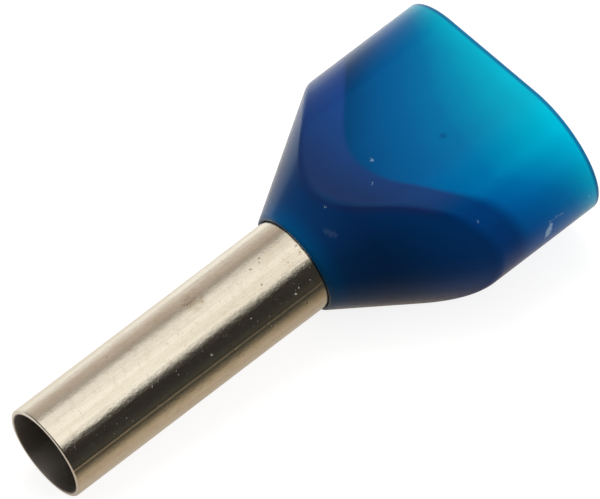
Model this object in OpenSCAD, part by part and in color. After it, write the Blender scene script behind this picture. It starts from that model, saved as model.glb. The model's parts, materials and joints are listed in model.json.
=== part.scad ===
// Twin-entry wire end ferrule: one crimp pin for the bare ends of two stranded wires.
// A thin tinned copper tube flares gently at its inner end, and a moulded collar is
// held on by that flare. The collar is a cone cut to an oval: round where it closes on
// the tube, and wide enough at its mouth for the insulation of both wires, side by side.
// Inside, a steeper funnel leads from the two wires down to the flare, so the plastic is
// thin round the mouth and thick beside the tube.
// Each piece is built standing on the pin's tip, with its axis on Z, the collar's
// width along Y and its thickness along X, and is then laid down as it comes to rest.

/* [Wires] */
// Diameter of the insulation on each wire
wire_od = 4; // [3.5:0.1:4.8]
// Play left around the pair of wires in the mouth
wire_play = 0.3; // [0.1:0.1:0.6]

/* [Sleeve] */
// Bore of the tube, for the bare strands
sleeve_bore = 2.9; // [2.2:0.1:3.3]
// Wall of the tube
sleeve_wall = 0.15; // [0.1:0.05:0.3]
// Bare length of tube that goes into the terminal
pin_length = 10; // [8:0.5:18]
// Rounding of the cut edge at the pin's tip
tip_round = 0.06; // [0.02:0.01:0.12]
// How far the flared end reaches past the neck, inside the collar
flare_length = 2.85; // [2.2:0.05:3.4]
// How much the flare adds to the tube's radius
flare_rise = 0.38; // [0.24:0.02:0.44]

/* [Collar] */
// Length from the neck to the mouth
collar_length = 8.5; // [7:0.5:12]
// Wall around the mouth
collar_wall = 0.35; // [0.3:0.05:0.6]
// Thickness of plastic at the neck's front edge
neck_lip = 0.12; // [0.08:0.01:0.4]
// Angle of the cone's side to the axis
cone_angle = 31.5; // [26:0.5:35]
// Angle of the funnel's side to the axis
funnel_angle = 37; // [34:1:44]
// Rounding of the mouth's outer edge
mouth_round = 0.12; // [0.05:0.01:0.2]
// Rounding of the mouth's inner edge, which leads the wires in
mouth_lead = 0.15; // [0.05:0.01:0.2]

/* [Fit] */
// Gap between the flare and the seat moulded for it
seat_gap = 0; // [0:0.01:0.05]

/* [Hidden] */
$fn = 96;

sleeve_r = sleeve_bore / 2 + sleeve_wall;
total_length = pin_length + collar_length;

// Past the neck the tube bends outwards round a large circle that lies outside it
flare_turn = 2 * atan(flare_rise / flare_length);
flare_bend = flare_length / sin(flare_turn);
bend_x = sleeve_r + flare_bend;
bend_z = pin_length;
flare_rim_r = sleeve_r + flare_rise;
flare_end_z = bend_z + (flare_bend + sleeve_wall) * sin(flare_turn);

// The collar's oval, inside and out, with full-round ends either side of a straight
cavity_thick = wire_od + wire_play;
collar_thick = cavity_thick + 2 * collar_wall;
oval_straight = wire_od;

// The outer cone, from the neck to a mouth that the oval cuts back
neck_r = sleeve_r + neck_lip;
cone_mouth_r = neck_r + collar_length * tan(cone_angle);

// The funnel starts wider than the flare's rim by this small ledge
funnel_ledge = 0.04;

// What is cut away runs past the ends by this much
overrun = 1;

// At rest it leans on the tip's lower edge and on the near end of the collar's flat
flat_start = pin_length + (collar_thick / 2 - neck_r) / tan(cone_angle);
rest_tilt = atan((collar_thick / 2 - sleeve_r) / flat_start);
rest_back = -sleeve_r * sin(rest_tilt);
rest_front = total_length * cos(rest_tilt) + collar_thick / 2 * sin(rest_tilt);

// Lays a standing piece on the table, with its mouth raised and facing +X
module at_rest() {
    translate([-(rest_back + rest_front) / 2, 0, sleeve_r * cos(rest_tilt)])
        rotate([0, 90 - rest_tilt, 0])
            children();
}

// What is taken off a square corner at the origin to round it
module corner_cut(r) {
    difference() {
        translate([-r, -r]) square(r + overrun);
        translate([-r, -r]) circle(r);
    }
}

// Everything inside a tube that bends outwards, set in from the sleeve's outside by a depth
module horn_profile(depth, start_z) {
    r = sleeve_r - depth;
    end_z = bend_z + bend_x;
    difference() {
        polygon([
            [0, start_z], [r, start_z], [r, bend_z],
            [bend_x, bend_z], [bend_x, end_z], [0, end_z]
        ]);
        translate([bend_x, bend_z]) circle(flare_bend + depth);
    }
}

// The sleeve's wall, rounded at the tip and cut square at the flare's end
module sleeve_profile() {
    difference() {
        horn_profile(0, 0);
        horn_profile(sleeve_wall, -overrun);
        translate([sleeve_r, 0]) mirror([0, 1]) corner_cut(tip_round);
        translate([bend_x, bend_z])
            rotate(-flare_turn)
                translate([-2 * bend_x, 0])
                    square(4 * bend_x);
    }
}

// The way through the collar: the flare's seat, then the funnel that the wires follow.
// The seat's circle is cut off level with the flare's end, and the funnel's side starts
// below that cut, inside the circle, so that it leaves the seat at the ledge.
module passage_profile() {
    r = sleeve_r + seat_gap;
    ledge_x = flare_rim_r + seat_gap + funnel_ledge;
    start_z = pin_length - overrun;
    inset_z = flare_end_z - funnel_ledge;
    inset_x = ledge_x - funnel_ledge * tan(funnel_angle);
    end_z = total_length + overrun;
    end_x = ledge_x + (end_z - flare_end_z) * tan(funnel_angle);
    difference() {
        polygon([
            [0, start_z], [r, start_z], [r, bend_z], [bend_x, bend_z],
            [bend_x, inset_z], [inset_x, inset_z], [end_x, end_z], [0, end_z]
        ]);
        intersection() {
            translate([bend_x, bend_z]) circle(flare_bend - seat_gap);
            translate([0, start_z]) square([2 * bend_x, flare_end_z - start_z]);
        }
    }
}

// Sweeps a profile round the oval, measured outwards from the line between the wires' centres
module around_oval() {
    for (side = [0, 1])
        mirror([0, side, 0])
            translate([0, oval_straight / 2, 0])
                rotate_extrude(angle = 180)
                    children();
    rotate([90, 0, 0])
        linear_extrude(height = oval_straight, center = true)
            for (side = [0, 1])
                mirror([side, 0])
                    children();
}

// The collar's outside before the cone shapes it, with a rounded mouth
module outer_oval() {
    around_oval()
        difference() {
            translate([0, pin_length]) square([collar_thick / 2, collar_length]);
            translate([collar_thick / 2, total_length]) corner_cut(mouth_round);
        }
}

// The space for the two wires' insulation, opening out at the mouth's inner edge
module inner_oval() {
    half = cavity_thick / 2;
    lead_z = total_length - mouth_lead;
    around_oval() {
        translate([0, pin_length - overrun]) square([half, collar_length + 2 * overrun]);
        difference() {
            translate([0, lead_z]) square([half + mouth_lead, mouth_lead + overrun]);
            translate([half + mouth_lead, lead_z]) circle(mouth_lead);
        }
    }
}

// Room for the flare to pass and seat, where the oval is no wider than its rim
module flare_room() {
    translate([0, 0, pin_length - overrun])
        cylinder(r = flare_rim_r + seat_gap, h = flare_end_z - pin_length + overrun);
}

module sleeve() {
    color("silver")
        rotate_extrude()
            sleeve_profile();
}

module collar() {
    color("royalblue")
        difference() {
            intersection() {
                translate([0, 0, pin_length])
                    cylinder(h = collar_length, r1 = neck_r, r2 = cone_mouth_r);
                outer_oval();
            }
            intersection() {
                rotate_extrude() passage_profile();
                union() {
                    inner_oval();
                    flare_room();
                }
            }
        }
}

at_rest() sleeve();
at_rest() collar();
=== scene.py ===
"""Looks for a twin-entry wire ferrule: a tinned tube in a moulded translucent blue collar.

Sizes are in millimetres until a mesh is made. A point on the ferrule is given by how far
it is along the axis from the pin's tip (s), how far across the collar's width (y) and how
far above the axis (up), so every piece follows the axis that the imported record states.
"""

import json
import math

import bpy
import numpy as np
from mathutils import Matrix, Vector


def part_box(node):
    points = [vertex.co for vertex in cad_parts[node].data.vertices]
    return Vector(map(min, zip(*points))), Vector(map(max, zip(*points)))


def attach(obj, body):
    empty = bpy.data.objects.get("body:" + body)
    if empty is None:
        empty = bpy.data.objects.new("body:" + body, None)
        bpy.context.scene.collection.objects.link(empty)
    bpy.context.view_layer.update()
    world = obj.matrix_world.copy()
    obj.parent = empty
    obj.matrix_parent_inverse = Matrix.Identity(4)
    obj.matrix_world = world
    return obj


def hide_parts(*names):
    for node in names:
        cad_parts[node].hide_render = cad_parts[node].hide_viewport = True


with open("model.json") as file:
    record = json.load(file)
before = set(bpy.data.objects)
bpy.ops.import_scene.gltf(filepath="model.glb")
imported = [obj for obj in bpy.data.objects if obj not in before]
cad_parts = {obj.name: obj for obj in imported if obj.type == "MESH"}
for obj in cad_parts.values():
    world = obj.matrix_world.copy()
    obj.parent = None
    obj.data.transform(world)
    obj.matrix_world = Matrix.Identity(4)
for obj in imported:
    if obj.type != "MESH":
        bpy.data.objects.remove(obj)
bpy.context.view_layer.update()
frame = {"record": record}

MM = 0.001
mounts = {m["name"]: m for m in frame["record"]["mounts"]}
bore = mounts["wire_bore"]
pin = mounts["terminal_pin"]

NECK = np.array(bore["pos_m"]) / MM
ALONG = np.array(bore["axis"]) / np.linalg.norm(bore["axis"])
ACROSS = np.array([0.0, 1.0, 0.0])
ABOVE = np.cross(ALONG, ACROSS)

# The tube, which bends outwards past the neck round a large circle
BORE_R = bore["dims"]["r_mm"]
TUBE_R = pin["dims"]["r_mm"]
WALL = TUBE_R - BORE_R
PIN_LENGTH = pin["dims"]["length_mm"]
TIP_ROUND = 0.06
BURR_ROUND = 0.03
FLARE_LENGTH = 2.85
FLARE_RISE = 0.38
FLARE_TURN = 2 * math.atan(FLARE_RISE / FLARE_LENGTH)
FLARE_BEND = FLARE_LENGTH / math.sin(FLARE_TURN)
FLARE_END = PIN_LENGTH + (FLARE_BEND + WALL) * math.sin(FLARE_TURN)
# how far the flare's two square edges are drawn in
FLARE_EDGE = 0.03
# how much the tube is out of round, and how uneven its cut end is
OUT_OF_ROUND = 0.004
UNEVEN_CUT = 0.012

# The collar, an oval with full-round ends that a cone cuts back
COLLAR_LOW, COLLAR_HIGH = (np.array(c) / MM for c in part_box("collar"))
OVAL_STRAIGHT = 4.0
OVAL_R = (COLLAR_HIGH[1] - COLLAR_LOW[1] - OVAL_STRAIGHT) / 2
HALF_ROUND = OVAL_STRAIGHT + math.pi * OVAL_R
COLLAR_WALL = 0.35
CAVITY_R = OVAL_R - COLLAR_WALL
MOUTH_ROUND = 0.08
MOUTH_LEAD = 0.15
# the mouth's top edge is the collar's furthest point
MOUTH_REACH = COLLAR_HIGH[0] - MOUTH_ROUND - NECK[0] - (OVAL_R - MOUTH_ROUND) * ALONG[2]
TOTAL = PIN_LENGTH + MOUTH_ROUND + MOUTH_REACH / ALONG[0]
NECK_LIP = 0.12
NECK_R = TUBE_R + NECK_LIP
NECK_ROUND = 0.035
CONE_ANGLE = 31.5
CONE_SLOPE = math.tan(math.radians(CONE_ANGLE))
FUNNEL_ANGLE = 37
FUNNEL_SLOPE = math.tan(math.radians(FUNNEL_ANGLE))
LEDGE = 0.04
FUNNEL_R = TUBE_R + FLARE_RISE + LEDGE
SEAT_GAP = 0.004
# roundings of the creases where the oval cuts the cone and the funnel
CREASE_BLEND = 0.10
FUNNEL_BLEND = 0.03
# the colour changes this much before the outer crease, this much more on the -Y side, and
# over this height
COLOUR_EARLY = 0.06
COLOUR_LEAN = 0.10
COLOUR_FADE = 0.3

# How finely the tube is meshed, round it and along its wall's outline
TUBE_COLUMNS = 320
TIP_ROWS = 9
PIN_ROWS = 110
FLARE_ROWS = 26
FLARE_END_ROWS = 4
BORE_ROWS = 80
BURR_ROWS = 6
CUT_ROWS = 3

# How finely the collar is meshed. The rows of a side are before, beside and past its crease,
# and those beside it are packed closer within this distance of it.
COLLAR_COLUMNS = 420
OUTSIDE_ROWS = (24, 22, 34)
OUTSIDE_NEAR = 0.3
INSIDE_ROWS = (26, 12, 30)
INSIDE_NEAR = 0.12
EDGE_ROWS = 9
SEAT_ROWS = 22
FRONT_ROWS = 7


# ---------------------------------------------------------------- helpers

def world_points(s, y, up):
    """Points in the shared frame, in metres, of places given along, across and above the axis."""
    s, y, up = np.broadcast_arrays(s, y, up)
    from_neck = (s - PIN_LENGTH)[..., None] * ALONG
    return MM * (NECK + from_neck + y[..., None] * ACROSS + up[..., None] * ABOVE)


def looped_mesh(name, local, **fields):
    """A closed skin through a grid of (s, y, up) places whose columns and rows both wrap round.

    Each point also carries its place, and its value of each field, for the materials to read.
    """
    columns, rows = local.shape[:2]
    points = world_points(local[..., 0], local[..., 1], local[..., 2]).reshape(-1, 3)
    column, row = np.meshgrid(np.arange(columns), np.arange(rows), indexing="ij")
    this = column * rows
    past = (column + 1) % columns * rows
    next_row = (row + 1) % rows
    quads = np.stack((this + row, this + next_row, past + next_row, past + row), -1).reshape(-1, 4)
    mesh = bpy.data.meshes.new(name)
    mesh.from_pydata(points.tolist(), [], quads.tolist())
    mesh.polygons.foreach_set("use_smooth", np.ones(len(quads), bool))
    place = mesh.attributes.new("place", "FLOAT_VECTOR", "POINT")
    place.data.foreach_set("vector", local.reshape(-1).astype(np.float32))
    for field, values in fields.items():
        layer = mesh.attributes.new(field, "FLOAT", "POINT")
        every = np.broadcast_to(values, (columns, rows))
        layer.data.foreach_set("value", every.reshape(-1).astype(np.float32))
    mesh.update()
    obj = bpy.data.objects.new(name, mesh)
    bpy.context.scene.collection.objects.link(obj)
    return obj


def arc(s, r, radius, start, end, count):
    """Points (s, r) on a circle, from one angle to another, counted from +s towards +r."""
    a = np.radians(np.linspace(start, end, count))
    return np.stack([s + radius * np.cos(a), r + radius * np.sin(a)], -1)


def line(first, last, count):
    """Evenly spaced points between two, without the ends."""
    t = np.linspace(0, 1, count + 2)[1:-1, None]
    return np.array(first) * (1 - t) + np.array(last) * t


def quarter(start, end):
    """Angles, as one row, from one to another for a rounded edge."""
    return np.radians(np.linspace(start, end, EDGE_ROWS))[None]


def soft_min(a, b, blend):
    """The smaller of two lengths, with the corner between them rounded."""
    h = np.clip(0.5 + 0.5 * (b - a) / blend, 0, 1)
    return b * (1 - h) + a * h - blend * h * (1 - h)


# ---------------------------------------------------------------- the tube

def flare_radius(s):
    """Radius of the tube's outside past the neck."""
    reach = np.clip(s - PIN_LENGTH, 0, None)
    return TUBE_R + FLARE_BEND - np.sqrt(np.clip(FLARE_BEND ** 2 - reach ** 2, 0, None))


def tube_profile():
    """The wall's outline as (s, r), from the tip's outer edge round the flare and down the bore."""
    turn = math.degrees(FLARE_TURN)
    centre = (PIN_LENGTH, TUBE_R + FLARE_BEND)
    tip = arc(TIP_ROUND, TUBE_R - TIP_ROUND, TIP_ROUND, 180, 90, TIP_ROWS)
    outer = arc(*centre, FLARE_BEND, -90, -90 + turn, FLARE_ROWS)
    inner = arc(*centre, FLARE_BEND + WALL, -90 + turn, -90, FLARE_ROWS)
    inwards = (inner[0] - outer[-1]) / WALL
    outer[-1] += inwards * FLARE_EDGE
    inner[0] -= inwards * FLARE_EDGE
    burr = arc(BURR_ROUND, BORE_R + BURR_ROUND, BURR_ROUND, 270, 180, BURR_ROWS)
    return np.concatenate([
        tip,
        line(tip[-1], outer[0], PIN_ROWS),
        outer,
        line(outer[-1], inner[0], FLARE_END_ROWS),
        inner,
        line(inner[-1], burr[0], BORE_ROWS),
        burr,
        line(burr[-1], tip[0], CUT_ROWS)])


def make_tube():
    """The drawn tube, with a flared inner end and a softened cut at the pin's tip."""
    profile = tube_profile()
    around = np.linspace(0, 2 * math.pi, TUBE_COLUMNS, endpoint=False)[:, None]
    s, r = profile[:, 0][None], profile[:, 1][None]
    # the drawn tube isn't perfectly round, and its cut end is slightly uneven
    near_tip = np.exp(-s / 0.5)
    r = r + OUT_OF_ROUND * np.sin(2 * around + 0.6) * np.cos(s * 0.45) - OUT_OF_ROUND
    waves = 1 + np.sin(around * 2 + 1.1) + 0.35 * np.sin(around * 5 + 0.4)
    s = s + UNEVEN_CUT * near_tip * waves / 2
    local = np.stack(np.broadcast_arrays(s, r * np.sin(around), r * np.cos(around)), -1)
    inside = np.zeros(len(profile))
    inside[TIP_ROWS + PIN_ROWS + FLARE_ROWS:] = 1
    inside[-CUT_ROWS:] = 0
    return looped_mesh("tube_shell", local, inside=inside[None])


# ---------------------------------------------------------------- the collar

def oval_columns(count):
    """Centre-line points y and outward directions (y, up) at even steps round the collar's oval."""
    side = OVAL_STRAIGHT
    turn = math.pi * OVAL_R
    along = (np.arange(count) + 0.5) / count * 2 * HALF_ROUND
    centre_y, out_y, out_up = np.zeros(count), np.zeros(count), np.zeros(count)

    top = along < side
    centre_y[top] = along[top] - side / 2
    out_up[top] = 1

    right = (along >= side) & (along < side + turn)
    angle = (along[right] - side) / OVAL_R
    centre_y[right] = side / 2
    out_y[right] = np.sin(angle)
    out_up[right] = np.cos(angle)

    bottom = (along >= side + turn) & (along < 2 * side + turn)
    centre_y[bottom] = side / 2 - (along[bottom] - side - turn)
    out_up[bottom] = -1

    left = along >= 2 * side + turn
    angle = (along[left] - 2 * side - turn) / OVAL_R
    centre_y[left] = -side / 2
    out_y[left] = -np.sin(angle)
    out_up[left] = -np.cos(angle)
    return centre_y, out_y, out_up


def round_the_oval(count):
    """How far round the oval each column is from the middle of its top, below 0 on the -Y side."""
    around = (np.arange(count) + 0.5) / count * 2 * HALF_ROUND - OVAL_STRAIGHT / 2
    return np.where(around > HALF_ROUND, around - 2 * HALF_ROUND, around)


def spread(start, crease, end, near, counts):
    """Rows from start to end for each column, packed closer round its crease."""
    low = crease - near
    high = crease + near
    before = np.linspace(0, 1, counts[0], endpoint=False)[:, None]
    beside = np.linspace(0, 1, counts[1], endpoint=False)[:, None]
    past = np.linspace(0, 1, counts[2])[:, None]
    parts = [start + (low - start) * before, low + (high - low) * beside, high + (end - high) * past]
    return np.concatenate(parts).T


def on_cone(s, y, edge):
    """1 on the cone and 0 on the oval, changing a little nearer to the neck on the -Y side."""
    early = COLOUR_EARLY + COLOUR_LEAN * np.clip((-y - 0.6) / 1.2, 0, 1)
    cone = NECK_R + (s - PIN_LENGTH) * CONE_SLOPE
    return np.clip(0.5 + (edge - early - cone) / COLOUR_FADE, 0, 1)


def make_collar():
    """The moulded collar as one skin: from the neck over the outside, in at the mouth and back."""
    centre_y, out_y, out_up = oval_columns(COLLAR_COLUMNS)

    def oval_at(s, radius):
        """Column points at a distance from the oval's centre line."""
        y = centre_y[:, None] + out_y[:, None] * radius
        return np.stack(np.broadcast_arrays(s, y, out_up[:, None] * radius), -1)

    def polar(s, r, radius):
        """Column points at a distance from the axis, in the directions of the oval of that radius."""
        y = centre_y + out_y * radius
        up = out_up * radius
        reach = np.hypot(y, up)
        return np.stack(np.broadcast_arrays(s, (y / reach)[:, None] * r, (up / reach)[:, None] * r), -1)

    edge = np.hypot(centre_y + out_y * OVAL_R, out_up * OVAL_R)[:, None]
    inner_edge = np.hypot(centre_y + out_y * CAVITY_R, out_up * CAVITY_R)[:, None]

    # outside: cone, crease, oval
    crease = PIN_LENGTH + (edge - NECK_R) / CONE_SLOPE
    start, end = PIN_LENGTH + NECK_ROUND, TOTAL - MOUTH_ROUND
    s = spread(start, crease[:, 0], end, OUTSIDE_NEAR, OUTSIDE_ROWS)
    cone = NECK_R + (s - PIN_LENGTH) * CONE_SLOPE
    outside = polar(s, soft_min(cone, edge, CREASE_BLEND), OVAL_R)

    # mouth: rounded outer edge, flat rim, rounded lead-in
    a = quarter(0, 90)[:, 1:]
    lip = oval_at(TOTAL - MOUTH_ROUND * (1 - np.sin(a)), OVAL_R - MOUTH_ROUND * (1 - np.cos(a)))
    a = quarter(90, 0)
    lead = oval_at(TOTAL - MOUTH_LEAD * (1 - np.sin(a)), CAVITY_R + MOUTH_LEAD * (1 - np.cos(a)))

    # inside: oval, crease, funnel
    crease = FLARE_END + (inner_edge - FUNNEL_R) / FUNNEL_SLOPE
    near = np.minimum(INSIDE_NEAR, (crease[:, 0] - FLARE_END) * 0.45)
    s = spread(FLARE_END, crease[:, 0], TOTAL - MOUTH_LEAD, near, INSIDE_ROWS)[:, ::-1]
    funnel = FUNNEL_R + (s - FLARE_END) * FUNNEL_SLOPE
    inside = polar(s, soft_min(funnel, inner_edge, FUNNEL_BLEND), CAVITY_R)[:, 1:]

    # the flare's seat, down to the neck's front edge
    s = np.linspace(FLARE_END, PIN_LENGTH, SEAT_ROWS)[None]
    seat = polar(s, flare_radius(s) + SEAT_GAP, CAVITY_R)
    a = np.radians(np.linspace(180, 90, FRONT_ROWS))[None]
    s = PIN_LENGTH + NECK_ROUND * (1 + np.cos(a))
    front = polar(s, NECK_R - NECK_ROUND * (1 - np.sin(a)), OVAL_R)[:, :-1]

    local = np.concatenate([front, outside, lip, lead, inside, seat], 1)
    is_inner = np.zeros(local.shape[1])
    is_inner[-(inside.shape[1] + seat.shape[1]):] = 1
    around = round_the_oval(COLLAR_COLUMNS)[:, None]
    cone = on_cone(local[..., 0], local[..., 1], edge)
    return looped_mesh("collar_shell", local, around=around, cone=cone, inside=is_inner[None])


tube = make_tube()
collar = make_collar()


# ---------------------------------------------------------------- node helpers

class Nodes:
    """A short way to add and join the nodes of one node tree, called n where it is used."""

    def __init__(self, tree):
        self.tree = tree
        tree.nodes.clear()

    def add(self, kind, sets=None, **inputs):
        """A new node, with its settings and the values or sockets of its named inputs."""
        node = self.tree.nodes.new(kind)
        for key, value in (sets or {}).items():
            setattr(node, key, value)
        for key, value in inputs.items():
            self.put(node.inputs[key.replace("_", " ")], value)
        return node

    def put(self, socket, value):
        """Links a socket to another one, or sets its value."""
        if isinstance(value, bpy.types.NodeSocket):
            self.tree.links.new(value, socket)
        else:
            socket.default_value = value

    def field(self, name, vector=False):
        """A value, or a vector, that each of the mesh's points carries."""
        node = self.add("ShaderNodeAttribute", {"attribute_name": name})
        return node.outputs["Vector" if vector else "Fac"]

    def split(self, vector):
        """A vector's three numbers."""
        node = self.add("ShaderNodeSeparateXYZ", Vector=vector)
        return node.outputs[0], node.outputs[1], node.outputs[2]

    def math(self, operation, a, b=0.0, c=0.0, clamp=False):
        """One number worked out from up to three."""
        node = self.add("ShaderNodeMath", {"operation": operation, "use_clamp": clamp})
        for socket, value in zip(node.inputs, (a, b, c)):
            self.put(socket, value)
        return node.outputs[0]

    def opposite(self, share):
        """1 less a share, so 0 where it is 1."""
        return self.math("SUBTRACT", 1.0, share)

    def length(self, a, b):
        """The length of a vector with these two sides."""
        return self.math("SQRT", self.math("MULTIPLY_ADD", a, a, self.math("MULTIPLY", b, b)))

    def vector(self, operation, a, b, out=0):
        """Vector mathematics; out is 1 for an operation that gives one number."""
        node = self.add("ShaderNodeVectorMath", {"operation": operation})
        self.put(node.inputs[0], a)
        self.put(node.inputs[1], b)
        return node.outputs[out]

    def times(self, vector, factor):
        """A vector or a colour times one number."""
        node = self.add("ShaderNodeVectorMath", {"operation": "SCALE"}, Scale=factor)
        self.put(node.inputs[0], vector)
        return node.outputs[0]

    def ramp(self, value, low, high, to_low=0.0, to_high=1.0, smooth=True):
        """Goes from to_low to to_high as a value goes from low to high, and is level past both."""
        kind = "SMOOTHSTEP" if smooth else "LINEAR"
        node = self.add("ShaderNodeMapRange", {"interpolation_type": kind}, Value=value,
                        From_Min=low, From_Max=high, To_Min=to_low, To_Max=to_high)
        return node.outputs[0]

    def mix(self, share, a, b, blend="MIX"):
        """Colour a with a share of colour b over it; each is a socket or (red, green, blue)."""
        node = self.add("ShaderNodeMix", {"data_type": "RGBA", "blend_type": blend})
        self.put(node.inputs[0], share)
        for socket, value in ((node.inputs[6], a), (node.inputs[7], b)):
            self.put(socket, value if isinstance(value, bpy.types.NodeSocket) else (*value, 1.0))
        return node.outputs[2]

    def colours(self, value, stops):
        """The colour at a value from 0 to 1 between stops, which are (value, colour)."""
        node = self.add("ShaderNodeValToRGB")
        self.put(node.inputs[0], value)
        elements = node.color_ramp.elements
        while len(elements) < len(stops):
            elements.new(0.5)
        for element, (position, colour) in zip(elements, stops):
            element.position = position
            element.color = (*colour, 1.0)
        return node.outputs[0]

    def noise(self, vector, scale, detail, roughness):
        """Cloudy noise about 0.5."""
        node = self.add("ShaderNodeTexNoise", Vector=vector, Scale=scale, Detail=detail, Roughness=roughness)
        return node.outputs["Fac"]

    def torn(self, place, scale, reach):
        """The place shifted about at random, so that a mark drawn there gets a ragged outline."""
        node = self.add("ShaderNodeTexNoise", Vector=place, Scale=scale, Detail=2.0, Roughness=0.6)
        shift = self.vector("SUBTRACT", node.outputs["Color"], (0.5, 0.5, 0.5))
        return self.vector("ADD", place, self.times(shift, reach))

    def spot(self, place, where, size, soft=0.5):
        """1 at a place on the ferrule, fading to 0 at a distance from it."""
        away = self.vector("DISTANCE", place, where, out=1)
        return self.ramp(away, size * (1 - soft), size, 1.0, 0.0)

    def stroke(self, place, start, end, width, soft=0.7):
        """1 along a short straight mark between two places, fading to 0 at a distance from it."""
        start = Vector(start)
        reach = Vector(end) - start
        from_start = self.vector("SUBTRACT", place, start)
        along = self.vector("DOT_PRODUCT", from_start, reach / reach.length_squared, out=1)
        along = self.math("MULTIPLY", along, 1.0, clamp=True)
        away = self.vector("DISTANCE", from_start, self.times(reach, along), out=1)
        return self.ramp(away, width * (1 - soft), width, 1.0, 0.0)

    def emission(self, colour, strength):
        return self.add("ShaderNodeEmission", Color=colour, Strength=strength).outputs[0]

    def diffuse(self, colour):
        return self.add("ShaderNodeBsdfDiffuse", Color=colour).outputs[0]

    def both(self, first, second):
        """Two shaders added."""
        node = self.add("ShaderNodeAddShader")
        self.put(node.inputs[0], first)
        self.put(node.inputs[1], second)
        return node.outputs[0]

    def choose(self, share, first, second):
        """The first shader where the share is 0, and the second where it is 1."""
        node = self.add("ShaderNodeMixShader")
        for socket, value in zip(node.inputs, (share, first, second)):
            self.put(socket, value)
        return node.outputs[0]

    def surface(self, shader, kind="ShaderNodeOutputMaterial"):
        """Ends the tree with a shader."""
        self.add(kind, Surface=shader)


def material(name):
    """A new material and the nodes to build it from."""
    made = bpy.data.materials.new(name)
    made.use_nodes = True
    return made, Nodes(made.node_tree)


def grey(level):
    return (level, level, level)


# How deep the bump of a texture of height 1 is
BUMP_DEPTH = 0.02 * MM


# ---------------------------------------------------------------- tinned tube

# Marks on the tube, as (s, degrees round the axis from its top, size)
DARK_PITS = [
    (8.77, -4, 0.05), (8.67, -8, 0.04), (8.32, -9, 0.05), (8.25, -31, 0.05), (9.36, -28, 0.04),
    (9.90, -19, 0.07), (9.86, -27, 0.05), (6.61, -86, 0.05), (9.21, -81, 0.06), (3.1, 14, 0.04),
    (5.2, -18, 0.03), (1.9, 5, 0.03)]
BRIGHT_SPECKS = [
    (9.62, -59, 0.045), (9.00, -62, 0.05), (9.20, -58, 0.035), (4.45, -54, 0.035), (5.68, -59, 0.045),
    (3.52, -46, 0.035), (7.36, -54, 0.05), (2.3, -57, 0.03), (6.4, -52, 0.03), (7.9, -64, 0.025)]
STAIN = (6.30, 3, 0.52)
SCORE_LINE_ANGLE = -69.5

TIN_DULL = (0.80, 0.745, 0.625)
TIN_BRIGHT = (0.91, 0.865, 0.745)
TIN_STREAK = (0.56, 0.49, 0.38)
TIN_CLOUD = (0.68, 0.58, 0.46)
TIN_MOTTLE = (0.63, 0.545, 0.42)
TIN_GRAIN = (0.46, 0.40, 0.30)
BLOOM_BROWN = (0.56, 0.43, 0.27)
SQUIGGLE_BROWN = (0.28, 0.20, 0.115)
PIT_BROWN = (0.14, 0.11, 0.07)
CUT_GREY = (0.60, 0.575, 0.57)
BORE_DARK = (0.33, 0.31, 0.29)
BORE_LIGHT = (0.41, 0.385, 0.37)
DUST_GREY = (0.36, 0.34, 0.29)


def on_tube(s, degrees):
    """The (s, y, up) place on the tube's outside at an angle from its top."""
    a = math.radians(degrees)
    return (s, TUBE_R * math.sin(a), TUBE_R * math.cos(a))


def worn_tin(n, s, fine, broad, grain, cloud, mottle):
    """The plate's own colour, browner where it is worn."""
    tin = n.mix(n.ramp(broad, 0.35, 0.65), TIN_DULL, TIN_BRIGHT)
    tin = n.mix(n.ramp(fine, 0.45, 0.72, 0.0, 0.10), tin, TIN_STREAK)
    tin = n.mix(n.ramp(cloud, 0.52, 0.70, 0.0, 0.28), tin, TIN_CLOUD)
    tin = n.mix(n.ramp(mottle, 0.50, 0.72, 0.0, 0.30), tin, TIN_MOTTLE)
    # the grain is coarser towards the neck
    specks = n.math("MULTIPLY", n.ramp(grain, 0.56, 0.70), n.ramp(s, 0.5, 9.5, 0.22, 0.50))
    return n.mix(specks, tin, TIN_GRAIN)


def stained(n, tin, place, mottle):
    """The tin with a brown bloom and dark squiggles in it, at one place."""
    stain = n.spot(place, on_tube(*STAIN[:2]), STAIN[2], soft=0.9)
    bloom = n.math("MULTIPLY", stain, n.ramp(mottle, 0.35, 0.6, 0.12, 0.50))
    tin = n.mix(bloom, tin, BLOOM_BROWN)
    squiggle = n.math("ABSOLUTE", n.math("SUBTRACT", n.noise(place, 10.0, 2.0, 0.5), 0.5))
    squiggle = n.math("MULTIPLY", n.ramp(squiggle, 0.006, 0.030, 1.0, 0.0), n.ramp(stain, 0.12, 0.45))
    squiggle = n.math("MULTIPLY", squiggle, n.ramp(mottle, 0.44, 0.54))
    return n.mix(n.math("MULTIPLY", squiggle, 0.75), tin, SQUIGGLE_BROWN)


def small_pits(n, place, torn, outside):
    """1 in small pits, some of them at known places."""
    cells = n.add("ShaderNodeTexVoronoi", {"feature": "F1"}, Vector=place, Scale=3.4, Randomness=1.0)
    pit = n.ramp(cells.outputs["Distance"], 0.035, 0.075, 1.0, 0.0)
    pit = n.math("MULTIPLY", pit, n.ramp(n.noise(place, 1.3, 2.0, 0.5), 0.50, 0.56))
    for at, angle, size in DARK_PITS:
        pit = n.math("MAXIMUM", pit, n.spot(torn, on_tube(at, angle), size))
    return n.math("MULTIPLY", pit, outside)


def pale_dust(n, place, torn, outside):
    """1 on grains of dust, and a part of 1 on a fine powder."""
    dust = 0.0
    for at, angle, size in BRIGHT_SPECKS:
        dust = n.math("MAXIMUM", dust, n.spot(torn, on_tube(at, angle), size, soft=0.8))
    powder = n.ramp(n.noise(place, 15.0, 1.0, 0.5), 0.735, 0.80, 0.0, 0.5)
    return n.math("MAXIMUM", dust, n.math("MULTIPLY", powder, outside))


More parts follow.
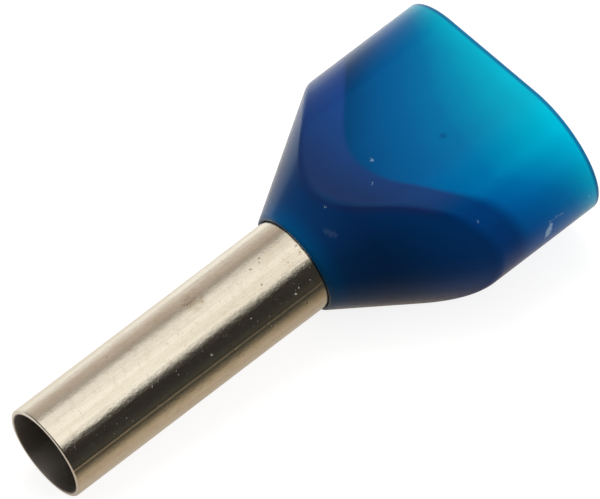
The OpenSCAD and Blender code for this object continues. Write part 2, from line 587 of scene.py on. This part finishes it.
def score_line(n, y, up, outside):
    """The height of a score line with one steep side and one shallow side."""
    angle = n.math("MULTIPLY", n.math("ARCTAN2", y, up), 180 / math.pi)
    off = n.math("SUBTRACT", angle, SCORE_LINE_ANGLE)
    shallow = n.ramp(off, -3.0, 0.0, smooth=False)
    steep = n.ramp(off, 0.0, 0.9, 1.0, 0.0, smooth=False)
    return n.math("MULTIPLY", n.math("MINIMUM", shallow, steep), outside)


def tin_material():
    """Tin plate on the drawn tube: streaked, stained and pitted outside, and dull in the bore."""
    made, n = material("worn_tin_plate")
    place = n.field("place", vector=True)
    torn = n.torn(place, 12.0, 0.16)
    inside = n.field("inside")
    outside = n.opposite(inside)
    s, y, up = n.split(place)

    # drawing lines run the length of the tube, under a sandy grain
    fine = n.noise(n.vector("MULTIPLY", place, (0.16, 7.0, 7.0)), 2.2, 3.0, 0.6)
    broad = n.noise(n.vector("MULTIPLY", place, (0.06, 1.6, 1.6)), 1.5, 3.0, 0.5)
    grain = n.noise(place, 12.0, 4.0, 0.7)
    cloud = n.noise(place, 0.9, 3.0, 0.6)
    mottle = n.noise(n.vector("MULTIPLY", place, (0.8, 1.0, 1.0)), 5.5, 4.0, 0.6)

    tin = stained(n, worn_tin(n, s, fine, broad, grain, cloud, mottle), place, mottle)
    pit = small_pits(n, place, torn, outside)
    tin = n.mix(n.math("MULTIPLY", pit, 0.48), tin, PIT_BROWN)
    # the cut edge at the tip is greyer
    tin = n.mix(n.ramp(s, 0.0, 0.09, 0.55, 0.0), tin, CUT_GREY)
    bore_tin = n.mix(n.ramp(cloud, 0.4, 0.6), BORE_DARK, BORE_LIGHT)
    dust = pale_dust(n, place, torn, outside)
    colour = n.mix(dust, n.mix(inside, tin, bore_tin), DUST_GREY)

    height = n.math("MULTIPLY_ADD", fine, 0.12, n.math("MULTIPLY", grain, 0.42))
    height = n.math("MULTIPLY_ADD", broad, 0.5, height)
    height = n.math("MULTIPLY_ADD", mottle, 1.0, height)
    height = n.math("MULTIPLY_ADD", pit, -0.9, height)
    height = n.math("MULTIPLY_ADD", score_line(n, y, up, outside), 1.95, height)
    bump = n.add("ShaderNodeBump", Strength=0.30, Distance=BUMP_DEPTH, Height=height)

    rough = n.math("MULTIPLY_ADD", inside, 0.38, n.ramp(fine, 0.3, 0.7, 0.14, 0.22))
    shader = n.add("ShaderNodeBsdfPrincipled", Base_Color=colour, Metallic=n.opposite(dust),
                   Roughness=rough, Normal=bump.outputs[0])
    n.surface(shader.outputs[0])
    return made


# ---------------------------------------------------------------- blue collar

# Marks on the collar, as ((s, y, up), size)
WHITE_MARKS = [
    ((13.25, -0.38, 2.50), 0.075), ((12.68, -1.06, 2.50), 0.060), ((11.14, -0.61, 2.34), 0.055),
    ((18.07, -4.50, -0.14), 0.045)]
DARK_MARK = ((15.37, -1.26, 2.50), 0.16)
# A scuff with a smudge beside it and two faint marks, in short strokes, as
# (from, to, width, strength)
STROKES = [
    ((16.44, -4.48, -0.30), (16.36, -4.44, -0.52), 0.17, 1.0),
    ((16.52, -4.49, -0.12), (16.42, -4.47, -0.36), 0.11, 0.9),
    ((16.50, -4.50, 0.05), (16.52, -4.49, -0.18), 0.08, 0.35),
    ((16.52, -4.50, 0.03), (16.76, -4.50, 0.05), 0.06, 0.16),
    ((16.76, -4.50, 0.05), (17.04, -4.50, 0.00), 0.07, 0.26),
    ((10.72, -1.01, 1.91), (10.86, -1.30, 1.83), 0.12, 0.08),
    ((14.33, -3.94, 1.58), (14.35, -3.94, 1.58), 0.05, 0.35)]

# The painted light and shade round the collar, as (how far round from the middle of its top, how much
# deeper the thin wall's colour gets there as painted shade, and how much painted light the solid plastic
# shows)
LIGHT_ROUND = [
    (-HALF_ROUND, 1.5, 0.60), (-6.0, 2.9, 0.41), (-5.05, 1.8, 0.45), (-3.4, -0.7, 0.53),
    (-1.0, -0.35, 0.85), (0.3, 0.25, 1.0), (2.0, 1.75, 0.94), (3.3, 4.0, 0.88), (HALF_ROUND, 1.5, 0.60)]
LEAN_LEAST = -1.0
LEAN_MOST = 4.0

# The thin wall's colour, from the mouth to this depth: painted light that comes in at the mouth,
# fading deeper in
THIN_DEPTH = 8.0
THIN_GLOW_COLOURS = [
    (0.0, (0.0, 0.50, 0.67)), (0.035, (0.0, 0.42, 0.585)), (0.065, (0.0, 0.365, 0.53)),
    (0.19, (0.0, 0.24, 0.425)), (0.31, (0.0, 0.145, 0.345)), (0.44, (0.0, 0.106, 0.30)),
    (0.53, (0.0, 0.087, 0.272)), (0.61, (0.0, 0.072, 0.235)), (0.70, (0.0, 0.052, 0.18)),
    (0.78, (0.0, 0.036, 0.14)), (0.90, (0.0, 0.026, 0.11))]
# the lean of the painted light to one side grows over about this depth
LEAN_DEPTH = 1.3
# the round end of the oval on the -Y side is a little bluer
END_WALL_TINT = (1.0, 1.0, 1.12)

# The solid plastic's colour with painted light and shade, from the neck to this distance: a painted
# glow at the neck's edge, painted shade darkest over the flare, and painted light clearing past it
SOLID_LENGTH = 4.5
SOLID_LIT_COLOURS = [
    (0.01, (0.002, 0.085, 0.245)), (0.055, (0.003, 0.068, 0.222)), (0.13, (0.005, 0.045, 0.170)),
    (0.22, (0.005, 0.040, 0.156)), (0.36, (0.004, 0.036, 0.150)), (0.50, (0.003, 0.046, 0.190)),
    (0.67, (0.002, 0.062, 0.270)), (0.92, (0.002, 0.080, 0.360))]
# a painted reflection of the light from above lends the flat wall over it a violet cast
VIOLET_REFLECTION = (0.010, 0.0, 0.004)

# painted shade on the mouth's rounded edge
RIM_SHADE_BLUE = (0.008, 0.10, 0.27)
# painted shade in the crevice where the neck meets the tube
CREVICE_SHADE_BLUE = (0.0, 0.012, 0.045)
MARK_BLUE = (0.42, 0.58, 0.72)
INCLUSION_BLUE = (0.0, 0.045, 0.17)


def funnel_closing(n, s, y, up):
    """How far the funnel has closed in behind each place on the oval's wall."""
    half = OVAL_STRAIGHT / 2
    middle = n.math("MINIMUM", n.math("MAXIMUM", y, -half), half)
    shrink = CAVITY_R / OVAL_R
    behind_y = n.math("MULTIPLY_ADD", n.math("SUBTRACT", y, middle), shrink, middle)
    behind = n.length(behind_y, n.math("MULTIPLY", up, shrink))
    funnel = n.math("MULTIPLY_ADD", n.math("SUBTRACT", s, FLARE_END), FUNNEL_SLOPE, FUNNEL_R)
    return n.math("SUBTRACT", behind, funnel)


def light_round(n, around):
    """How much deeper the thin wall's colour gets as painted shade, and how much painted light the solid
    plastic shows.
    """
    span = LEAN_MOST - LEAN_LEAST
    stops = [(0.5 + 0.5 * at / HALF_ROUND, ((lean - LEAN_LEAST) / span, lit, 0.0))
             for at, lean, lit in LIGHT_ROUND]
    sides = n.colours(n.math("MULTIPLY_ADD", around, 0.5 / HALF_ROUND, 0.5), stops)
    sides = n.add("ShaderNodeSeparateColor", Color=sides)
    return n.math("MULTIPLY_ADD", sides.outputs[0], span, LEAN_LEAST), sides.outputs[1]


def thin_wall_glow(n, s, lean, cloud, end_wall):
    """The thin wall's colour with painted light from the mouth: the deeper from the mouth, the darker, as
    painted shade.
    """
    depth = n.math("SUBTRACT", TOTAL, s)
    grown = n.opposite(n.math("EXPONENT", n.math("MULTIPLY", depth, -1 / LEAN_DEPTH)))
    deep = n.math("MULTIPLY_ADD", lean, grown, depth)
    deep = n.math("MULTIPLY_ADD", n.math("SUBTRACT", cloud, 0.5), 0.5, deep)
    colour = n.colours(n.math("DIVIDE", deep, THIN_DEPTH, clamp=True), THIN_GLOW_COLOURS)
    return n.mix(end_wall, colour, n.mix(1.0, colour, END_WALL_TINT, blend="MULTIPLY"))


def solid_plastic_lit(n, s, around, cone, lit, end_wall):
    """The colour of the cone, and of the oval's wall where the funnel has closed in behind it, with painted
    light and shade.
    """
    from_neck = n.math("MULTIPLY_ADD", s, 1 / SOLID_LENGTH, -PIN_LENGTH / SOLID_LENGTH, clamp=True)
    off_cone = n.opposite(cone)
    wall_light = n.math("MULTIPLY_ADD", end_wall, 0.27, 0.66)
    # painted light: all of it on the cone, less on the oval's wall, a little more at its round -Y end
    light = n.math("MULTIPLY", lit, n.math("ADD", cone, n.math("MULTIPLY", off_cone, wall_light)))
    colour = n.times(n.colours(from_neck, SOLID_LIT_COLOURS), light)
    # painted reflection of the light from above, as a violet cast on the oval's wall, fading out towards its
    # -Y end
    violet_reflection_share = n.math("MULTIPLY", off_cone, n.ramp(around, -3.6, -2.8))
    return n.vector("ADD", colour, n.times(VIOLET_REFLECTION, violet_reflection_share))


def seen_funnel_line(n, y, closing, end_wall):
    """0 in front of the line where the funnel meets the wall, as seen through it, and 1 past it."""
    # the line lies nearer to the neck on one side
    shift = n.math("MULTIPLY_ADD", n.math("MAXIMUM", y, -2.3), 0.09, -0.08)
    shift = n.math("MULTIPLY_ADD", n.ramp(y, -0.3, -2.2), -0.14, shift)
    shift = n.math("MULTIPLY", shift, n.opposite(end_wall))
    width = n.math("MULTIPLY_ADD", end_wall, 0.25, 0.15)
    return n.ramp(n.math("ADD", closing, shift), -0.05, width)


def pale_marks(n, place, torn):
    """1 on the specks and strokes, less where they are faint or worn."""
    marks = 0.0
    for where, size in WHITE_MARKS:
        marks = n.math("MAXIMUM", marks, n.spot(torn, where, size, soft=0.8))
    for start, end, width, strength in STROKES:
        stroke = n.math("MULTIPLY", n.stroke(torn, start, end, width), strength)
        marks = n.math("MAXIMUM", marks, stroke)
    return n.math("MULTIPLY", marks, n.ramp(n.noise(place, 14.0, 2.0, 0.6), 0.35, 0.55, 0.55, 1.0))


def collar_material():
    """Translucent plastic, drawn on its skin: painted light through the thin wall, and the deep blue solid
    part with painted light and shade.
    """
    made, n = material("translucent_blue_polypropylene")
    place = n.field("place", vector=True)
    around, cone, inside = n.field("around"), n.field("cone"), n.field("inside")
    s, y, up = n.split(place)
    torn = n.torn(place, 11.0, 0.22)
    cloud = n.noise(place, 0.6, 2.0, 0.5)

    # 1 on the round end of the oval on the -Y side
    end_wall = n.ramp(around, -2.6, -4.4)
    lean, lit = light_round(n, around)
    # painted light that comes in at the mouth, on the thin wall
    thin_glow = thin_wall_glow(n, s, lean, cloud, end_wall)
    # painted light and shade on the solid plastic
    solid_lit = solid_plastic_lit(n, s, around, cone, lit, end_wall)
    closing = funnel_closing(n, s, y, up)
    body = n.mix(seen_funnel_line(n, y, closing, end_wall), thin_glow, solid_lit)

    # painted shade makes the mouth's rounded edge a dark line
    rim_shade = n.math("MULTIPLY", n.ramp(s, TOTAL - 0.19, TOTAL - 0.10), n.opposite(inside))
    body = n.mix(n.math("MULTIPLY", rim_shade, 0.85), body, RIM_SHADE_BLUE)
    # and painted shade makes the crevice where the neck meets the tube a dark line too
    at_neck = n.ramp(s, PIN_LENGTH + 0.02, PIN_LENGTH + 0.05, 1.0, 0.0)
    at_tube = n.ramp(n.length(y, up), TUBE_R + 0.02, TUBE_R + 0.06, 1.0, 0.0)
    crevice_shade = n.math("MULTIPLY", at_neck, at_tube)
    body = n.mix(n.math("MULTIPLY", crevice_shade, 0.8), body, CREVICE_SHADE_BLUE)

    marks = pale_marks(n, place, torn)
    body = n.mix(n.math("MULTIPLY", marks, 0.58), body, MARK_BLUE)
    inclusion = n.spot(torn, *DARK_MARK, soft=0.85)
    body = n.mix(n.math("MULTIPLY", inclusion, 0.60), body, INCLUSION_BLUE)

    # moulded plastic: a soft gloss with a faint ripple and handling marks
    ripple = n.noise(place, 1.1, 2.0, 0.5)
    haze = n.noise(n.vector("MULTIPLY", place, (1.0, 0.5, 1.0)), 6.0, 4.0, 0.6)
    height = n.math("MULTIPLY_ADD", haze, 0.12, ripple)
    height = n.math("MULTIPLY_ADD", marks, 0.6, height)
    bump = n.add("ShaderNodeBump", Strength=0.25, Distance=BUMP_DEPTH, Height=height)
    # rougher on the marks, and in the crevice under its painted shade
    dull = n.math("MULTIPLY", n.math("MAXIMUM", marks, crevice_shade), 0.6)
    rough = n.math("MAXIMUM", n.ramp(haze, 0.35, 0.70, 0.17, 0.27), dull)
    shader = n.add("ShaderNodeBsdfPrincipled", Base_Color=body, Roughness=rough, IOR=1.45,
                   Specular_Tint=(0.0, 0.45, 0.85, 1.0), Normal=bump.outputs[0])
    n.surface(shader.outputs[0])
    return made


tube.data.materials.append(tin_material())
collar.data.materials.append(collar_material())

for piece, node, slot in ((tube, "sleeve", "tinned_copper"), (collar, "collar", "collar_plastic")):
    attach(piece, "root")
    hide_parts(node)


# ---------------------------------------------------------------- floor, light and camera

CAMERA_AZIMUTH, CAMERA_ELEVATION, CAMERA_ROLL = (math.radians(a) for a in (-124.80, 49.26, -6.71))
CAMERA_DISTANCE = 440 * MM
# it aims at a point just past the middle of the neck
CAMERA_AIM = Vector((NECK + np.array([0.367, 0.136, 0.277])) * MM)
# how much the picture's width takes in at the distance of the aim
PICTURE_WIDTH = 18.310323 * MM
SENSOR_WIDTH = 36

FLOOR_HALF = 1500 * MM
FLOOR_DROP = 0.01 * MM

# The paper as the gloss sees it, from where it ends in front to its bright far side
SHINE_FROM = -6.8 * MM
SHINE_TO = 15.8 * MM
SHINE = [
    (0.0, (0.05, 0.048, 0.04)), (0.09, (0.18, 0.145, 0.10)), (0.14, (0.37, 0.30, 0.215)),
    (0.20, (0.53, 0.43, 0.34)), (0.235, (0.67, 0.59, 0.50)), (0.27, (0.70, 0.62, 0.52)),
    (0.41, (0.85, 0.79, 0.72)), (1.0, (1.0, 0.99, 0.97))]

# The tent's colour from the horizon up, and how much light it gives from the far side to the
# camera's side
TENT_COLOURS = [
    (0.0, (0.80, 0.755, 0.73)), (0.16, (0.73, 0.67, 0.63)), (0.34, (0.64, 0.56, 0.505)),
    (0.53, (0.645, 0.55, 0.48)), (0.68, (0.71, 0.615, 0.55)), (0.81, (0.71, 0.645, 0.60)),
    (0.90, (0.73, 0.69, 0.64)), (0.956, (0.92, 0.885, 0.84))]
TENT_LIGHT = [
    (0.03, grey(1.0)), (0.15, grey(0.55)), (0.375, grey(0.25)), (0.45, grey(0.14)), (0.55, grey(0.045))]
CAP_FAR = (0.92, 0.885, 0.84)
CAP_NEAR = (1.03, 0.99, 0.93)


def towards(azimuth, elevation):
    """A direction, from its angles in radians."""
    level = math.cos(elevation)
    return Vector((level * math.cos(azimuth), level * math.sin(azimuth), math.sin(elevation)))


def make_camera():
    """The photo's view."""
    back = towards(CAMERA_AZIMUTH, CAMERA_ELEVATION)
    level = Vector((0, 0, 1)).cross(back).normalized()
    right = level * math.cos(CAMERA_ROLL) + back.cross(level) * math.sin(CAMERA_ROLL)
    turned = Matrix((right, back.cross(right), back)).transposed().to_4x4()
    data = bpy.data.cameras.new("camera")
    data.sensor_width = SENSOR_WIDTH
    data.lens = SENSOR_WIDTH * CAMERA_DISTANCE / PICTURE_WIDTH
    data.clip_start = 0.01
    data.clip_end = 20
    obj = bpy.data.objects.new("camera", data)
    obj.matrix_world = Matrix.Translation(CAMERA_AIM + back * CAMERA_DISTANCE) @ turned
    bpy.context.scene.collection.objects.link(obj)
    bpy.context.scene.camera = obj


def make_floor():
    """A sheet of paper just under the ferrule."""
    signs = ((-1, -1), (1, -1), (1, 1), (-1, 1))
    corners = [(x * FLOOR_HALF, y * FLOOR_HALF, -FLOOR_DROP) for x, y in signs]
    mesh = bpy.data.meshes.new("floor")
    mesh.from_pydata(corners, [], [(0, 1, 2, 3)])
    mesh.materials.append(paper_material())
    obj = bpy.data.objects.new("floor", mesh)
    bpy.context.scene.collection.objects.link(obj)


def paper_material():
    """White paper that looks different to the camera, in the object's gloss and to other light."""
    made, n = material("white_paper")
    where = n.add("ShaderNodeTexCoord").outputs["Object"]
    fibre = n.noise(where, 900.0, 2.0, 0.5)
    lit = n.diffuse(n.mix(fibre, grey(0.52), grey(0.58)))

    # the camera sees it almost burnt out, with a faint shadow
    shaded = n.diffuse(n.mix(fibre, grey(0.25), grey(0.27)))
    seen = n.both(shaded, n.emission((1, 1, 1, 1), 0.85))

    # in the object's gloss it ends in front and is brighter on the far side and by the mouth
    x, y, _ = n.split(where)
    far = n.math("ADD", y, n.ramp(x, 2.5 * MM, 7.0 * MM, 0.0, 2.3 * MM))
    shine = n.colours(n.ramp(far, SHINE_FROM, SHINE_TO, smooth=False), SHINE)
    mirrored = n.both(n.emission(shine, 0.55), n.diffuse(n.times(shine, 0.45)))

    ray = n.add("ShaderNodeLightPath").outputs
    in_gloss = n.math("MAXIMUM", ray["Is Glossy Ray"], ray["Is Transmission Ray"])
    n.surface(n.choose(in_gloss, n.choose(ray["Is Camera Ray"], lit, seen), mirrored))
    return made


def make_world():
    """A light tent: a bright cap, a warm wall on the far side and a dark room behind the camera."""
    world = bpy.data.worlds.new("tent")
    world.use_nodes = True
    bpy.context.scene.world = world
    n = Nodes(world.node_tree)
    direction = n.add("ShaderNodeTexCoord").outputs["Generated"]
    _, _, height = n.split(direction)

    def facing(azimuth):
        """1 towards a direction on the level, 0 square to it and -1 opposite it."""
        return n.vector("DOT_PRODUCT", direction, towards(math.radians(azimuth), 0.0), out=1)

    # 1 on the camera's side
    front = facing(-125)
    lit = n.colours(n.math("MULTIPLY_ADD", front, 0.5, 0.5), TENT_LIGHT)
    wall = n.mix(1.0, n.colours(height, TENT_COLOURS), lit, blend="MULTIPLY")
    # the cap starts higher up on one side, and stops short of the far side
    edge = n.ramp(facing(145), -0.5, 0.6, 0.665, 0.80, smooth=False)
    over = n.ramp(n.math("SUBTRACT", height, edge), -0.05, 0.115)
    far_side = n.ramp(front, -0.75, -0.45, 1.0, 0.0)
    over = n.math("MULTIPLY", over, n.opposite(far_side))
    cap = n.mix(n.ramp(front, -0.45, 0.05), CAP_FAR, CAP_NEAR)

    light = n.add("ShaderNodeBackground", Color=n.mix(over, wall, cap), Strength=1.0).outputs[0]
    white = n.add("ShaderNodeBackground", Color=(1, 1, 1, 1), Strength=1.0).outputs[0]
    is_camera = n.add("ShaderNodeLightPath").outputs["Is Camera Ray"]
    n.surface(n.choose(is_camera, light, white), "ShaderNodeOutputWorld")


def make_lamp(name, azimuth, elevation, distance, size, power):
    """A round lamp, in metres and watts, that points at the origin and doesn't show in the gloss."""
    away = towards(math.radians(azimuth), math.radians(elevation))
    data = bpy.data.lights.new(name, "AREA")
    data.shape = "DISK"
    data.size = size
    data.energy = power
    obj = bpy.data.objects.new(name, data)
    turned = away.to_track_quat("Z", "Y").to_matrix().to_4x4()
    obj.matrix_world = Matrix.Translation(away * distance) @ turned
    obj.visible_glossy = False
    bpy.context.scene.collection.objects.link(obj)


make_camera()
make_floor()
make_world()
make_lamp("overhead_softbox", azimuth=60, elevation=72, distance=0.30, size=0.22, power=0.47)
make_lamp("mouth_side_fill", azimuth=-55, elevation=18, distance=0.30, size=0.20, power=0.45)

bpy.context.scene.view_settings.view_transform = "Standard"
